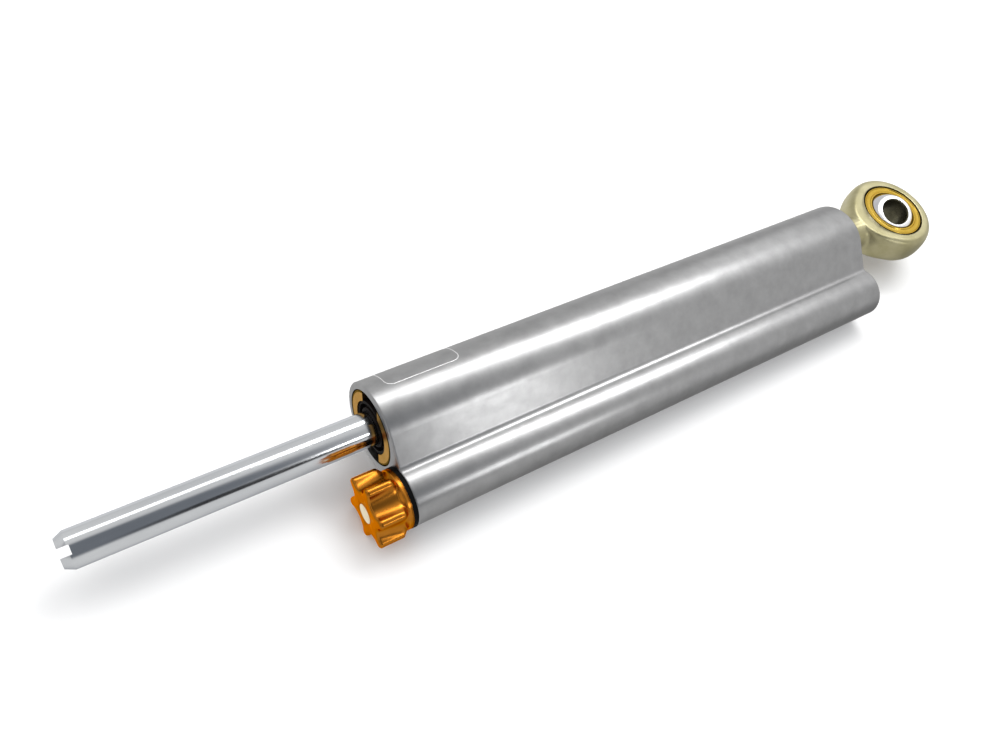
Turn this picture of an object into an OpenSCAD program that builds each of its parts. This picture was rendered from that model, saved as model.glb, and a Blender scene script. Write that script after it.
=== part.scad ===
// Motorcycle steering damper: a through-rod hydraulic damper in a two-lobed
// aluminium body. The large lobe is the working cylinder, and the small lobe
// holds the damping valve with its click knob and an oil reservoir.
// The origin is the centre of the eye's ball. +X runs along the rod from its
// free tip towards the eye, and +Z is up as the damper lies on a table.

/* [Body] */
// Radius of the working bore
bore_r = 8.5; // [8.2:0.1:9]
// How much wider the gland seats are than the working bore
gland_step = 0.65; // [0.5:0.05:0.9]
// Wall of the large lobe at the gland seats
tube_wall = 1.55; // [1.3:0.05:2.5]
// Radius of the valve bore in the small lobe
valve_bore_r = 5.2; // [5:0.1:5.6]
// Wall of the small lobe
lobe_wall = 1.8; // [1.4:0.1:3]
// Metal left between the gland seat and the valve bore
web_wall = 2.45; // [2:0.05:4]
// Angle from the line of centres at which the flats leave the large lobe
web_angle = 60; // [54:1:64]
// Radius of the crease where the flats meet the small lobe
crease_r = 1; // [0.5:0.1:2]
// Radius of the two cross-drilled oil ports
port_r = 1.5; // [1:0.1:1.6]
// Radius of the oil passage along the small lobe
passage_r = 3.5; // [2.5:0.1:4]

/* [Travel] */
// Travel of the rod through the body
stroke = 60; // [40:1:90]
// Length of the piston
piston_length = 20; // [18:0.5:30]
// Room for a port between the piston and each gland
port_room = 6; // [5:0.5:9]

/* [Glands] */
// Length of each gland
gland_length = 30.1; // [28:0.1:40]
// Wall of the wiper round the rod
wiper_wall = 2.4; // [2:0.1:2.8]
// Length of the wiper
wiper_length = 5; // [3.5:0.1:6]
// How far the wiper sits below the gland's face
wiper_sink = 0.3; // [0:0.1:0.8]
// Wall of the rod seal round the rod
seal_wall = 2.2; // [1.8:0.1:2.8]
// Length of the rod seal
seal_length = 4; // [3:0.1:5]
// Wall of the rod bush
bush_wall = 1; // [0.8:0.1:1.5]
// Length of the rod bush
bush_length = 12; // [8:0.5:14]
// Width of the two spanner notches in each gland
notch_width = 6.8; // [4:0.1:8]
// Depth of the spanner notches
notch_depth = 3.2; // [1.5:0.1:4]
// Direction of the front gland's notches, seen along +X from +Y
notch_angle = 72; // [0:1:180]
// Chamfer round the gland's outer face
gland_chamfer = 0.35; // [0.1:0.05:0.5]

/* [Rod] */
// Radius of the rod
rod_r = 4; // [3.8:0.05:4.2]
// Length of rod beyond the stroke at the free end
rod_tail = 5.6; // [4:0.1:12]
// Length of the chamfer at the rod's tip
tip_chamfer = 1.8; // [0.5:0.1:2.5]
// Width of the tool slot in the rod's tip
slot_width = 2; // [1:0.1:2.5]
// Depth of the tool slot
slot_depth = 2.2; // [1:0.1:4]
// Direction of the tool slot, seen along +X from +Y
slot_angle = -67; // [-180:1:180]

/* [Piston] */
// Width of the piston's seal groove
piston_seal_width = 4; // [3:0.1:5]
// Width of each guide ring on the piston
guide_width = 3; // [2:0.1:3.5]
// Depth of the recess for the clip at each end of the piston
clip_recess = 1.6; // [1.4:0.1:2.4]

/* [Eye] */
// Distance from the eye's centre to the body's rear face
eye_reach = 24.5; // [23.5:0.1:32]
// Outside radius of the eye's head at its middle
head_r = 13.1; // [12.4:0.1:14]
// Thickness of the eye's head
head_thickness = 9.4; // [8.4:0.1:10]
// Radius of the head's bulging side
bulge_r = 8; // [6:0.2:8.4]
// Radius of the rounded shoulder between head and rod
shoulder_r = 8.8; // [8.6:0.1:10]
// How far the shoulder's centre sits from the eye's centre
shoulder_shift = 6.4; // [5:0.1:6.6]
// Radius of the collar that seats on the rod
collar_seat_r = 4.6; // [4.4:0.1:5.4]
// Length of the collar beyond the shoulder
collar_seat_length = 2.4; // [1:0.1:3.4]
// Radius of the eye's threaded stud inside the rod
stud_r = 3; // [2.5:0.1:3.2]
// Length of the stud
stud_length = 12; // [8:0.5:16]
// Thickness of the bearing liner at its middle
liner_wall = 1.4; // [1:0.05:1.7]
// Radius of the ball
ball_r = 7.9375; // [7.6:0.0125:8]
// Width of the ball across its two faces
ball_width = 12; // [11:0.1:12.4]
// Radius of the hole through the ball
eye_bore_r = 4; // [3:0.05:4.4]
// Tilt of the ball at rest
ball_tilt = 15.7; // [0:0.1:16]
// Compass direction of the tilt, seen from above from +X
tilt_bearing = -130.6; // [-180:0.1:180]

/* [Knob] */
// Radius of the knob at the tips of its lobes
knob_r = 8.15; // [7.8:0.05:10]
// Radius of the knob's flange next to the body
flange_r = 7.05; // [6.9:0.05:7.6]
// Length of the knob
knob_length = 8.1; // [7.6:0.1:12]
// Number of lobes round the knob
knob_lobes = 6; // [5:1:7]
// Radius of the scallops between the lobes
scallop_r = 3.3; // [2:0.1:3.4]
// Radius of the knob's core at the bottom of the scallops
knob_core_r = 5.3; // [5.2:0.05:6.2]
// Direction of the first lobe, seen along +X from +Y
lobe_angle = 17.5; // [0:0.5:60]
// Radius of the screw head in the knob's face
knob_screw_r = 2.3; // [2.1:0.05:2.8]

/* [Valve] */
// Length of the valve cartridge inside the body
cartridge_length = 28; // [27.5:0.1:29]
// Thickness of the click ring behind the knob
click_ring_thickness = 1; // [0.7:0.05:1.4]
// Clicks in one turn of the knob
clicks_per_turn = 12; // [8:1:16]
// Radius of the spindle in the cartridge
spindle_r = 2.5; // [2.3:0.05:2.6]
// Radius of the needle's stem
needle_r = 1.5; // [1.3:0.05:1.6]
// Travel of the needle from open to shut
needle_travel = 1; // [0.5:0.05:1.1]
// Radius of the orifice in the valve seat
orifice_r = 1.2; // [1:0.05:1.25]
// Length of the valve seat
seat_length = 4; // [3:0.1:6]
// Radius of the click ball
click_ball_r = 0.8; // [0.6:0.05:0.85]

/* [Reservoir] */
// Length of the floating piston
float_length = 7; // [5:0.1:8]
// Length of the reservoir's end plug
plug_length = 7; // [5:0.1:8]
// How far the end plug sits inside the body's rear face
plug_sink = 2.6; // [2.2:0.1:4]
// Radius of the reservoir spring's wire
reservoir_wire_r = 0.45; // [0.3:0.05:0.5]
// Turns of the reservoir spring
reservoir_turns = 6; // [4:0.5:7]

/* [Fits] */
// Radial clearance of parts that run on each other
running_gap = 0.03; // [0.02:0.005:0.05]
// Radial clearance of parts that are pushed or screwed together
seat_gap = 0.02; // [0.01:0.005:0.03]
// Clearance between flat faces that turn on each other
face_gap = 0.1; // [0.05:0.01:0.15]

/* [Hidden] */

$fn = 96;
over = 1; // how far a cutting shape runs past what it cuts

// Cross-section of the body
gland_seat_r = bore_r + gland_step;
tube_r = gland_seat_r + tube_wall;
lobe_r = valve_bore_r + lobe_wall;
centre_gap = gland_seat_r + web_wall + valve_bore_r;
// Both lobes stand on one plane, which tips the line of centres
centre_tip = asin((tube_r - lobe_r) / centre_gap);
lobe_y = -centre_gap * cos(centre_tip);
lobe_z = -centre_gap * sin(centre_tip);

// Places along the body
body_length = 2 * gland_length + 2 * port_room + piston_length + stroke;
rear_x = -eye_reach;
front_x = rear_x - body_length;
front_port_x = front_x + gland_length + port_room / 2;
rear_port_x = rear_x - gland_length - port_room / 2;
piston_x = front_x + gland_length + port_room;

// Gland, as depths from its outer face
wiper_depth = wiper_length + wiper_sink;
gland_lip = 1.8;
seal_depth = wiper_depth + gland_lip;
rod_clearance_r = rod_r + 0.4;
bush_depth = gland_length - bush_length - 1;
gland_ring_wire_r = 1;
gland_ring_groove = 2.6;
gland_ring_depth = 18;

// Piston and its rings
piston_r = bore_r - 0.2;
ring_wall = 1.05;
energiser_wire_r = 0.6;
energiser_r = bore_r - running_gap - ring_wall - seat_gap - energiser_wire_r;
piston_clip_thickness = 1.2;
piston_clip_r = rod_r + 1.7;
clip_groove_depth = 0.5;

// Rod
rod_tip_x = front_x - stroke - rod_tail;
liner_r = ball_r + liner_wall;
rod_end_x = -shoulder_shift - shoulder_r - collar_seat_length;
stud_hole_length = stud_length + 1;

// Valve, as depths from the body's front face
boss_length = 3.2;
boss_r = 4.3;
collar_r = 3.25;
collar_length = 2.5;
collar_depth = 1.5;
spindle_clip_thickness = 0.9;
spindle_clip_depth = collar_depth - collar_length - face_gap - spindle_clip_thickness;
spindle_clip_r = 3.8;
spindle_end = 15;
tail_start = 8;
hex_start = spindle_end + 0.5;
hex_length = 4;
hex_r = spindle_r - seat_gap;
hex_end = hex_start + hex_length + needle_travel + 1.4;
needle_land_r = needle_r + 0.4;
needle_ring_wire_r = 0.4;
needle_cone_length = 3;
needle_point_r = 0.3;
seat_depth = gland_length + port_room / 2 + port_r + 2.4;
valve_bore_depth = seat_depth + seat_length;
needle_shut_end = seat_depth + 2;
needle_end = needle_shut_end - needle_travel;
spindle_ring_depth = 5;
spindle_ring_wire_r = 0.45;
cartridge_ring_depth = 12;
cartridge_ring_wire_r = 0.7;

// Knob, as distances in front of the body's front face
knob_back = click_ring_thickness + face_gap;
knob_front = knob_back + knob_length;
spindle_shoulder = boss_length + 0.3;
knob_round = 0.5;
flange_length = 2.6;
flange_rim = 1.04;
screw_head_length = 1.3;
screw_shank_r = 1.25;
nose_r = 2;
click_radius = (boss_r + lobe_r) / 2;
click_pocket_length = 4.6;
click_ball_gap = 0.03;

// Reservoir
reservoir_start_x = rear_port_x - port_r - 1;
float_x = rear_port_x + port_r + 1;
plug_x = rear_x - plug_sink - plug_length;
reservoir_ring_wire_r = 0.7;
reservoir_ring_groove = 1.8;
float_ring_offset = 1.2;
float_cup_r = 2.5;
plug_ring_offset = 2;
plug_pull_r = 1.5;
cup_depth = 3;
coil_gap = 1.4;
clip_opening = 3;
plug_clip_thickness = 1;
plug_clip_groove = 0.7;

// Places pieces at the ends of the large lobe, with +X leading inwards
module at_front() translate([front_x, 0, 0]) children();
module at_rear() translate([rear_x, 0, 0]) mirror([1, 0, 0]) children();

// Places pieces on the small lobe's axis
module on_lobe() translate([0, lobe_y, lobe_z]) children();
module at_valve() translate([front_x, lobe_y, lobe_z]) children();

// A solid or hollow cylinder along X
module bar(x0, x1, r) translate([x0, 0, 0]) rotate([0, 90, 0]) cylinder(r = r, h = x1 - x0);
module sleeve(x0, x1, r_out, r_in) difference() {
    bar(x0, x1, r_out);
    bar(x0 - over, x1 + over, r_in);
}
module taper(x0, x1, r0, r1) translate([x0, 0, 0]) rotate([0, 90, 0])
    cylinder(r1 = r0, r2 = r1, h = x1 - x0);
module o_ring(x, r, wire_r) translate([x, 0, 0]) rotate([0, 90, 0])
    rotate_extrude() translate([r, 0]) circle(wire_r - seat_gap);

// A spring clip: a flat ring with a gap
module clip(x0, x1, r_out, r_in, gap) difference() {
    sleeve(x0, x1, r_out, r_in);
    translate([x0 - over, 0, -gap / 2]) cube([x1 - x0 + 2 * over, r_out + over, gap]);
}

// A round wire wound along X, as one closed tube
module coil(x0, x1, r, wire_r, turns, sides = 6, steps = 14) {
    count = round(turns * steps);
    rise = (x1 - x0 - 2 * wire_r) / count;
    points = [for (i = [0:count], j = [0:sides - 1])
        let (turn = 360 * i / steps, side = 360 * j / sides, reach = r + wire_r * cos(side))
        [x0 + wire_r + rise * i + wire_r * sin(side), reach * cos(turn), reach * sin(turn)]];
    walls = [for (i = [0:count - 1], j = [0:sides - 1])
        let (k = (j + 1) % sides)
        [i * sides + j, i * sides + k, (i + 1) * sides + k, (i + 1) * sides + j]];
    first = [for (j = [sides - 1:-1:0]) j];
    last = [for (j = [0:sides - 1]) count * sides + j];
    polyhedron(points, concat([first], walls, [last]), convexity = 10);
}

// Web between the two lobes of the body, with straight flats and two creases.
// It is drawn with the small lobe on the +x side.
module web_outline() {
    flat = [cos(web_angle), sin(web_angle)];
    along = [sin(web_angle), -cos(web_angle)];
    reach = (tube_r + crease_r) * flat - [centre_gap, 0];
    side = reach * along;
    run = -side - sqrt(side * side - reach * reach + pow(lobe_r + crease_r, 2));
    crease = (tube_r + crease_r) * flat + run * along;
    foot = crease - crease_r * flat;
    lobe = [centre_gap, 0];
    touch = lobe + (crease - lobe) * lobe_r / (lobe_r + crease_r);
    upper = [tube_r * flat, foot, crease, touch];
    lower = [for (i = [3:-1:0]) [upper[i][0], -upper[i][1]]];
    difference() {
        polygon(concat([[0, 0]], upper, [lobe], lower));
        for (s = [-1, 1]) translate([crease[0], s * crease[1]]) circle(crease_r);
    }
}

// Lays a drawn shape along the body, turned so that the body stands on both lobes
module along_body() translate([front_x, 0, 0]) rotate([90, 0, 90]) linear_extrude(body_length)
    rotate(180 + centre_tip) children();

// A port drilled from the far side, through the large bore, into the small one
module port(x) translate([x, 0, 0]) rotate([90 + centre_tip, 0, 0])
    translate([0, 0, -tube_r - over]) cylinder(r = port_r, h = tube_r + over + centre_gap);

module body() color([0.72, 0.73, 0.74]) difference() {
    union() {
        along_body() circle(tube_r);
        along_body() translate([centre_gap, 0]) circle(lobe_r);
        along_body() web_outline();
    }
    bar(front_x - over, rear_x + over, bore_r);
    bar(front_x - over, front_x + gland_length, gland_seat_r);
    bar(rear_x - gland_length, rear_x + over, gland_seat_r);
    on_lobe() {
        bar(front_x - over, front_x + valve_bore_depth, valve_bore_r);
        bar(front_x, rear_x, passage_r);
        bar(reservoir_start_x, rear_x + over, valve_bore_r);
        bar(rear_x - plug_sink, rear_x - plug_sink + plug_clip_thickness,
            valve_bore_r + plug_clip_groove);
    }
    port(front_port_x);
    port(rear_port_x);
}

// Plugs pressed into the outer ends of the two drilled ports
module port_plugs() color([0.6, 0.6, 0.62]) for (x = [front_port_x, rear_port_x])
    translate([x, 0, 0]) rotate([90 + centre_tip, 0, 0]) translate([0, 0, 0.3 - tube_r])
        cylinder(r = port_r - seat_gap, h = tube_r - bore_r - 0.6);

// A gland with its outer face at 0
module gland(notch) color([0.8, 0.66, 0.42]) difference() {
    union() {
        taper(0, gland_chamfer, gland_seat_r - seat_gap - gland_chamfer, gland_seat_r - seat_gap);
        bar(gland_chamfer, gland_length, gland_seat_r - seat_gap);
    }
    bar(-over, gland_length + over, rod_clearance_r);
    bar(-over, wiper_depth, rod_r + wiper_wall);
    bar(seal_depth, seal_depth + seal_length, rod_r + seal_wall);
    bar(bush_depth, gland_length + over, rod_r + bush_wall);
    sleeve(gland_ring_depth, gland_ring_depth + gland_ring_groove, gland_seat_r + over,
        gland_seat_r - 2 * gland_ring_wire_r);
    rotate([notch, 0, 0]) translate([-over, -gland_seat_r - over, -notch_width / 2])
        cube([notch_depth + over, 2 * gland_seat_r + 2 * over, notch_width]);
}

module gland_o_ring() color([0.08, 0.08, 0.08])
    o_ring(gland_ring_depth + gland_ring_groove / 2, gland_seat_r - gland_ring_wire_r,
        gland_ring_wire_r);

// The wiper has a groove round its face and a lip on the rod
module wiper() color([0.06, 0.05, 0.05]) difference() {
    sleeve(wiper_sink, wiper_depth, rod_r + wiper_wall - seat_gap, rod_r + running_gap);
    sleeve(0, wiper_sink + 1.2, rod_r + wiper_wall * 0.7, rod_r + wiper_wall * 0.3);
}

// The rod seal is a U-shaped ring that opens towards the oil
module rod_seal() color([0.1, 0.1, 0.1]) difference() {
    sleeve(seal_depth, seal_depth + seal_length, rod_r + seal_wall - seat_gap, rod_r + running_gap);
    sleeve(seal_depth + seal_length * 0.45, seal_depth + seal_length + over,
        rod_r + seal_wall * 0.65, rod_r + seal_wall * 0.35);
}

module rod_bush() color([0.62, 0.48, 0.3])
    sleeve(bush_depth, bush_depth + bush_length, rod_r + bush_wall - seat_gap,
        rod_r + running_gap);

// Piston: a seal with its energiser in the middle and a guide ring on each side
piston_mid_x = piston_x + piston_length / 2;
guide_offset = piston_seal_width / 2 + 1.2 + guide_width / 2;
guide_seat_r = bore_r - running_gap - ring_wall - seat_gap;

module piston() color([0.7, 0.7, 0.68]) difference() {
    bar(piston_x, piston_x + piston_length, piston_r);
    bar(piston_x - over, piston_x + piston_length + over, rod_r + running_gap);
    for (x = [piston_x - over, piston_x + piston_length - clip_recess])
        bar(x, x + clip_recess + over, piston_clip_r + 0.4);
    sleeve(piston_mid_x - piston_seal_width / 2, piston_mid_x + piston_seal_width / 2,
        piston_r + over, energiser_r - energiser_wire_r);
    for (s = [-1, 1]) translate([piston_mid_x + s * guide_offset, 0, 0])
        sleeve(-guide_width / 2, guide_width / 2, piston_r + over, guide_seat_r);
}

module piston_seal() color([0.25, 0.28, 0.3])
    sleeve(piston_mid_x - piston_seal_width / 2 + seat_gap,
        piston_mid_x + piston_seal_width / 2 - seat_gap,
        bore_r - running_gap, bore_r - running_gap - ring_wall);

module seal_energiser() color([0.08, 0.08, 0.08])
    o_ring(piston_mid_x, energiser_r, energiser_wire_r);

module guide_rings() color([0.75, 0.72, 0.62]) for (s = [-1, 1])
    translate([piston_mid_x + s * guide_offset, 0, 0])
        sleeve(seat_gap - guide_width / 2, guide_width / 2 - seat_gap, bore_r - running_gap,
            bore_r - running_gap - ring_wall);

// The clips sit in grooves of the rod, just inside the piston's recesses
module each_piston_clip() for (s = [-1, 1])
    translate([piston_mid_x + s * (piston_length / 2 - clip_recess + face_gap / 2), 0, 0])
        mirror([s < 0 ? 1 : 0, 0, 0]) children();

module piston_clips() color([0.35, 0.35, 0.37]) each_piston_clip()
    clip(0, piston_clip_thickness, piston_clip_r, rod_r - clip_groove_depth + seat_gap,
        clip_opening);

module piston_rod() color([0.86, 0.87, 0.9]) difference() {
    union() {
        taper(rod_tip_x, rod_tip_x + tip_chamfer, rod_r - tip_chamfer / 2, rod_r);
        bar(rod_tip_x + tip_chamfer, rod_end_x, rod_r);
    }
    bar(rod_end_x - stud_hole_length, rod_end_x + over, stud_r + seat_gap);
    rotate([slot_angle, 0, 0]) translate([rod_tip_x - over, -rod_r - over, -slot_width / 2])
        cube([slot_depth + over, 2 * rod_r + 2 * over, slot_width]);
    each_piston_clip() sleeve(-face_gap / 4, piston_clip_thickness + face_gap / 4,
        rod_r + over, rod_r - clip_groove_depth);
}

// Eye: a round head with bulging sides, a shoulder that runs down to a collar
// on the rod's end, and a threaded stud, with a bearing liner and a drilled ball
module barrel(r) rotate_extrude() intersection() {
    union() {
        translate([0, -head_thickness / 2]) square([r - bulge_r, head_thickness]);
        translate([r - bulge_r, 0]) circle(bulge_r);
    }
    translate([0, -head_thickness / 2]) square([r, head_thickness]);
}

module eye_housing() color([0.72, 0.7, 0.5]) difference() {
    union() {
        barrel(head_r);
        translate([-shoulder_shift, 0, 0]) barrel(shoulder_r);
        bar(rod_end_x, -shoulder_shift, collar_seat_r);
        bar(rod_end_x - stud_length, -shoulder_shift, stud_r);
    }
    cylinder(r = liner_r + seat_gap, h = head_thickness + 2 * over, center = true);
}

module eye_liner() color([0.8, 0.6, 0.25]) difference() {
    cylinder(r = liner_r, h = head_thickness - 0.2, center = true);
    sphere(ball_r + running_gap);
}

module eye_ball() color([0.93, 0.93, 0.93])
    rotate([0, 0, tilt_bearing]) rotate([0, ball_tilt, 0]) difference() {
        intersection() {
            sphere(ball_r);
            cube([3 * ball_r, 3 * ball_r, ball_width], center = true);
        }
        cylinder(r = eye_bore_r, h = ball_width + 2 * over, center = true);
    }

// Knob: a lobed grip that narrows towards the body, and a conical flange
module knob_grip() difference() {
    union() {
        taper(-knob_front, -knob_front + knob_round, knob_r - knob_round, knob_r);
        taper(-knob_front + knob_round, -knob_back, knob_r, flange_r);
    }
    for (i = [0:knob_lobes - 1]) rotate([lobe_angle + (i + 0.5) * 360 / knob_lobes, 0, 0])
        translate([0, knob_core_r + scallop_r, 0]) bar(-knob_front - over, over, scallop_r);
}

module knob_flange() {
    taper(-knob_back - flange_length, -knob_back - flange_rim, knob_core_r, flange_r);
    bar(-knob_back - flange_rim, -knob_back, flange_r);
}

// Pocket and ball of the click stop, under the knob's first lobe
module at_click() rotate([lobe_angle, 0, 0]) translate([0, click_radius, 0]) children();

module adjuster_knob() color([0.8, 0.42, 0.08]) at_valve() difference() {
    union() {
        knob_grip();
        knob_flange();
    }
    bar(-spindle_shoulder, over, boss_r + 0.2);
    bar(-knob_front, over, nose_r + seat_gap);
    bar(-knob_front - over, -knob_front + screw_head_length, knob_screw_r + seat_gap);
    at_click() bar(-knob_back - click_pocket_length, over, click_ball_r + running_gap);
}

// A plain turned head that is pressed home, with a stem in the spindle
module knob_screw() color([0.88, 0.87, 0.83]) at_valve() {
    bar(-knob_front, -knob_front + screw_head_length, knob_screw_r);
    bar(-knob_front + screw_head_length, -spindle_shoulder - 0.6, screw_shank_r - seat_gap);
}

module click_ring() color([0.05, 0.05, 0.05]) at_valve() difference() {
    sleeve(-click_ring_thickness, 0, lobe_r + 0.1, boss_r + seat_gap);
    for (i = [0:clicks_per_turn - 1]) rotate([lobe_angle + i * 360 / clicks_per_turn, 0, 0])
        translate([0, click_radius, 0])
            bar(-click_ring_thickness - over, over, click_ball_r * 0.7);
}

module click_ball() color([0.8, 0.8, 0.82]) at_valve() at_click()
    translate([-click_ring_thickness - click_ball_gap - click_ball_r, 0, 0])
        sphere(click_ball_r);

module click_spring() color([0.5, 0.5, 0.52]) at_valve() at_click()
    coil(-knob_back - click_pocket_length, -knob_back - 2 * click_ball_r,
        click_ball_r * 0.62, 0.13, 4, 6, 10);

module spindle() color([0.7, 0.71, 0.73]) at_valve() difference() {
    union() {
        bar(-knob_front + screw_head_length, -spindle_shoulder, nose_r);
        bar(-spindle_shoulder, collar_depth - collar_length, spindle_r + 0.1);
        bar(collar_depth - collar_length, collar_depth - face_gap / 2, collar_r);
        bar(collar_depth - face_gap / 2, spindle_end, spindle_r);
    }
    bar(-knob_front, -spindle_shoulder, screw_shank_r);
    bar(tail_start, spindle_end + over, needle_r + seat_gap);
    sleeve(spindle_ring_depth, spindle_ring_depth + 1.2, spindle_r + over,
        spindle_r - 2 * spindle_ring_wire_r);
}

module spindle_o_ring() color([0.08, 0.08, 0.08]) at_valve()
    o_ring(spindle_ring_depth + 0.6, spindle_r - spindle_ring_wire_r + seat_gap,
        spindle_ring_wire_r);

module spindle_clip() color([0.3, 0.3, 0.32]) at_valve()
    clip(spindle_clip_depth, spindle_clip_depth + spindle_clip_thickness,
        spindle_clip_r - seat_gap, spindle_r + 0.25, 1.5);

module valve_cartridge() color([0.76, 0.62, 0.35]) at_valve() difference() {
    union() {
        bar(-boss_length, 0, boss_r);
        bar(0, cartridge_length, valve_bore_r - seat_gap);
    }
    bar(-boss_length - over, collar_depth, collar_r + running_gap);
    bar(spindle_clip_depth - face_gap / 4, spindle_clip_depth + spindle_clip_thickness
        + face_gap / 4, spindle_clip_r);
    bar(0, hex_start, spindle_r + running_gap);
    translate([hex_start - over / 2, 0, 0]) rotate([0, 90, 0])
        cylinder(r = hex_r, h = hex_end - hex_start + over / 2, $fn = 6);
    bar(0, cartridge_length + over, needle_land_r + running_gap);
    sleeve(cartridge_ring_depth, cartridge_ring_depth + 1.8, valve_bore_r + over,
        valve_bore_r - 2 * cartridge_ring_wire_r);
}

module cartridge_o_ring() color([0.08, 0.08, 0.08]) at_valve()
    o_ring(cartridge_ring_depth + 0.9, valve_bore_r - cartridge_ring_wire_r,
        cartridge_ring_wire_r);

// Needle: a threaded tail, a hexagon that keeps it from turning, and a cone
module needle() color([0.78, 0.79, 0.8]) at_valve() difference() {
    union() {
        bar(tail_start + 0.3, hex_start + 0.6, needle_r);
        translate([hex_start + 0.4, 0, 0]) rotate([0, 90, 0])
            cylinder(r = hex_r - 2 * running_gap, h = hex_length, $fn = 6);
        bar(hex_start + 0.4 + hex_length, cartridge_length - 0.5, needle_land_r);
        bar(cartridge_length - 0.5, needle_end - needle_cone_length, needle_r);
        taper(needle_end - needle_cone_length, needle_end, needle_r, needle_point_r);
    }
    sleeve(hex_end + 1.2, hex_end + 2.2, needle_land_r + over,
        needle_land_r - 2 * needle_ring_wire_r + seat_gap);
}

module needle_o_ring() color([0.08, 0.08, 0.08]) at_valve()
    o_ring(hex_end + 1.7, needle_land_r - needle_ring_wire_r + seat_gap, needle_ring_wire_r);

module valve_seat() color([0.74, 0.6, 0.34]) at_valve()
    sleeve(seat_depth, valve_bore_depth, valve_bore_r - seat_gap, orifice_r);

module floating_piston() color([0.7, 0.7, 0.68]) on_lobe() difference() {
    bar(float_x, float_x + float_length, valve_bore_r - running_gap);
    bar(float_x + float_length - cup_depth, float_x + float_length + over, float_cup_r);
    translate([float_x + float_ring_offset, 0, 0]) sleeve(0, reservoir_ring_groove,
        valve_bore_r + over, valve_bore_r - 2 * reservoir_ring_wire_r);
}

module floating_piston_o_ring() color([0.08, 0.08, 0.08]) on_lobe()
    o_ring(float_x + float_ring_offset + reservoir_ring_groove / 2,
        valve_bore_r - reservoir_ring_wire_r, reservoir_ring_wire_r);

module reservoir_spring() color([0.5, 0.5, 0.52]) on_lobe()
    coil(float_x + float_length, plug_x, valve_bore_r - coil_gap, reservoir_wire_r,
        reservoir_turns, 6, 16);

module end_plug() color([0.72, 0.73, 0.74]) on_lobe() difference() {
    bar(plug_x, plug_x + plug_length, valve_bore_r - seat_gap);
    bar(plug_x + plug_length - cup_depth, plug_x + plug_length + over, plug_pull_r);
    translate([plug_x + plug_ring_offset, 0, 0]) sleeve(0, reservoir_ring_groove,
        valve_bore_r + over, valve_bore_r - 2 * reservoir_ring_wire_r);
}

module end_plug_o_ring() color([0.08, 0.08, 0.08]) on_lobe()
    o_ring(plug_x + plug_ring_offset + reservoir_ring_groove / 2,
        valve_bore_r - reservoir_ring_wire_r, reservoir_ring_wire_r);

module end_plug_clip() color([0.3, 0.3, 0.32]) on_lobe()
    clip(rear_x - plug_sink, rear_x - plug_sink + plug_clip_thickness - seat_gap,
        valve_bore_r + plug_clip_groove - seat_gap, valve_bore_r - 1.3, clip_opening);

body();
at_front() gland(notch_angle);  // front_gland
at_rear() gland(notch_angle);  // rear_gland
at_front() gland_o_ring();  // front_gland_o_ring
at_rear() gland_o_ring();  // rear_gland_o_ring
at_front() wiper();  // front_wiper
at_rear() wiper();  // rear_wiper
at_front() rod_seal();  // front_rod_seal
at_rear() rod_seal();  // rear_rod_seal
at_front() rod_bush();  // front_rod_bush
at_rear() rod_bush();  // rear_rod_bush
port_plugs();
piston();
piston_seal();
seal_energiser();
guide_rings();
piston_clips();
piston_rod();
eye_housing();
eye_liner();
eye_ball();
adjuster_knob();
knob_screw();
click_ring();
click_ball();
click_spring();
spindle();
spindle_o_ring();
spindle_clip();
valve_cartridge();
cartridge_o_ring();
needle();
needle_o_ring();
valve_seat();
floating_piston();
floating_piston_o_ring();
reservoir_spring();
end_plug();
end_plug_o_ring();
end_plug_clip();
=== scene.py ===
import bpy, bmesh, math
from mathutils import Vector, Matrix


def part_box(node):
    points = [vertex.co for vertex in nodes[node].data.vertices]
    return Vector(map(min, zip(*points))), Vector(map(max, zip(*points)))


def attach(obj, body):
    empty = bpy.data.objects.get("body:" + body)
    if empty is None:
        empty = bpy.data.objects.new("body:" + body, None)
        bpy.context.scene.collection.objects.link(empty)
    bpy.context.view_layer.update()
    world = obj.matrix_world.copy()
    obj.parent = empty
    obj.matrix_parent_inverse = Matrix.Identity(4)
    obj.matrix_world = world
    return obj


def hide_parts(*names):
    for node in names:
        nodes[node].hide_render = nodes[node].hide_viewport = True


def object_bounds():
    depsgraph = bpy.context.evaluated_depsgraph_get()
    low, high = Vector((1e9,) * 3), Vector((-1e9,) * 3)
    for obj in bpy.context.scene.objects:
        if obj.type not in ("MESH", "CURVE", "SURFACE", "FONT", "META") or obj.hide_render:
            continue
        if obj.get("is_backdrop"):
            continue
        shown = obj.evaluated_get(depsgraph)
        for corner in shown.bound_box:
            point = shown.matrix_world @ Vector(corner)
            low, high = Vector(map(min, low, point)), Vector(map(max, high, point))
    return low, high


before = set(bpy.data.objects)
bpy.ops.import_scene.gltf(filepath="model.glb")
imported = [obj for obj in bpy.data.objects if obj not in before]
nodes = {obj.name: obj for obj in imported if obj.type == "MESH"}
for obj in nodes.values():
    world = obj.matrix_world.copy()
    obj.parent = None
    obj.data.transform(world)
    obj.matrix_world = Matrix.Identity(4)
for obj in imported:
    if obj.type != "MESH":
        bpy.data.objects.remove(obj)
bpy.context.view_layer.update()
mm = 0.001
print("frame loaded,", len(nodes), "nodes")

# Places that several pieces share, in millimetres
damper = {
    "frontX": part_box("body")[0][0] / mm,
    "rearX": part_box("body")[1][0] / mm,
    "tubeR": 10.7,
    "lobeY": -16.3875,
    "lobeZ": -3.7,
    "lobeR": 7.0,
}


# Finishes: one builder makes them all, and each look says how dark, light and glossy it is

def addNode(tree, kind, place, **inputs):
    node = tree.nodes.new(kind)
    node.location = place
    for key, value in inputs.items():
        if key in node.inputs:
            node.inputs[key].default_value = value
        else:
            setattr(node, key, value)
    return node


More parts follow.
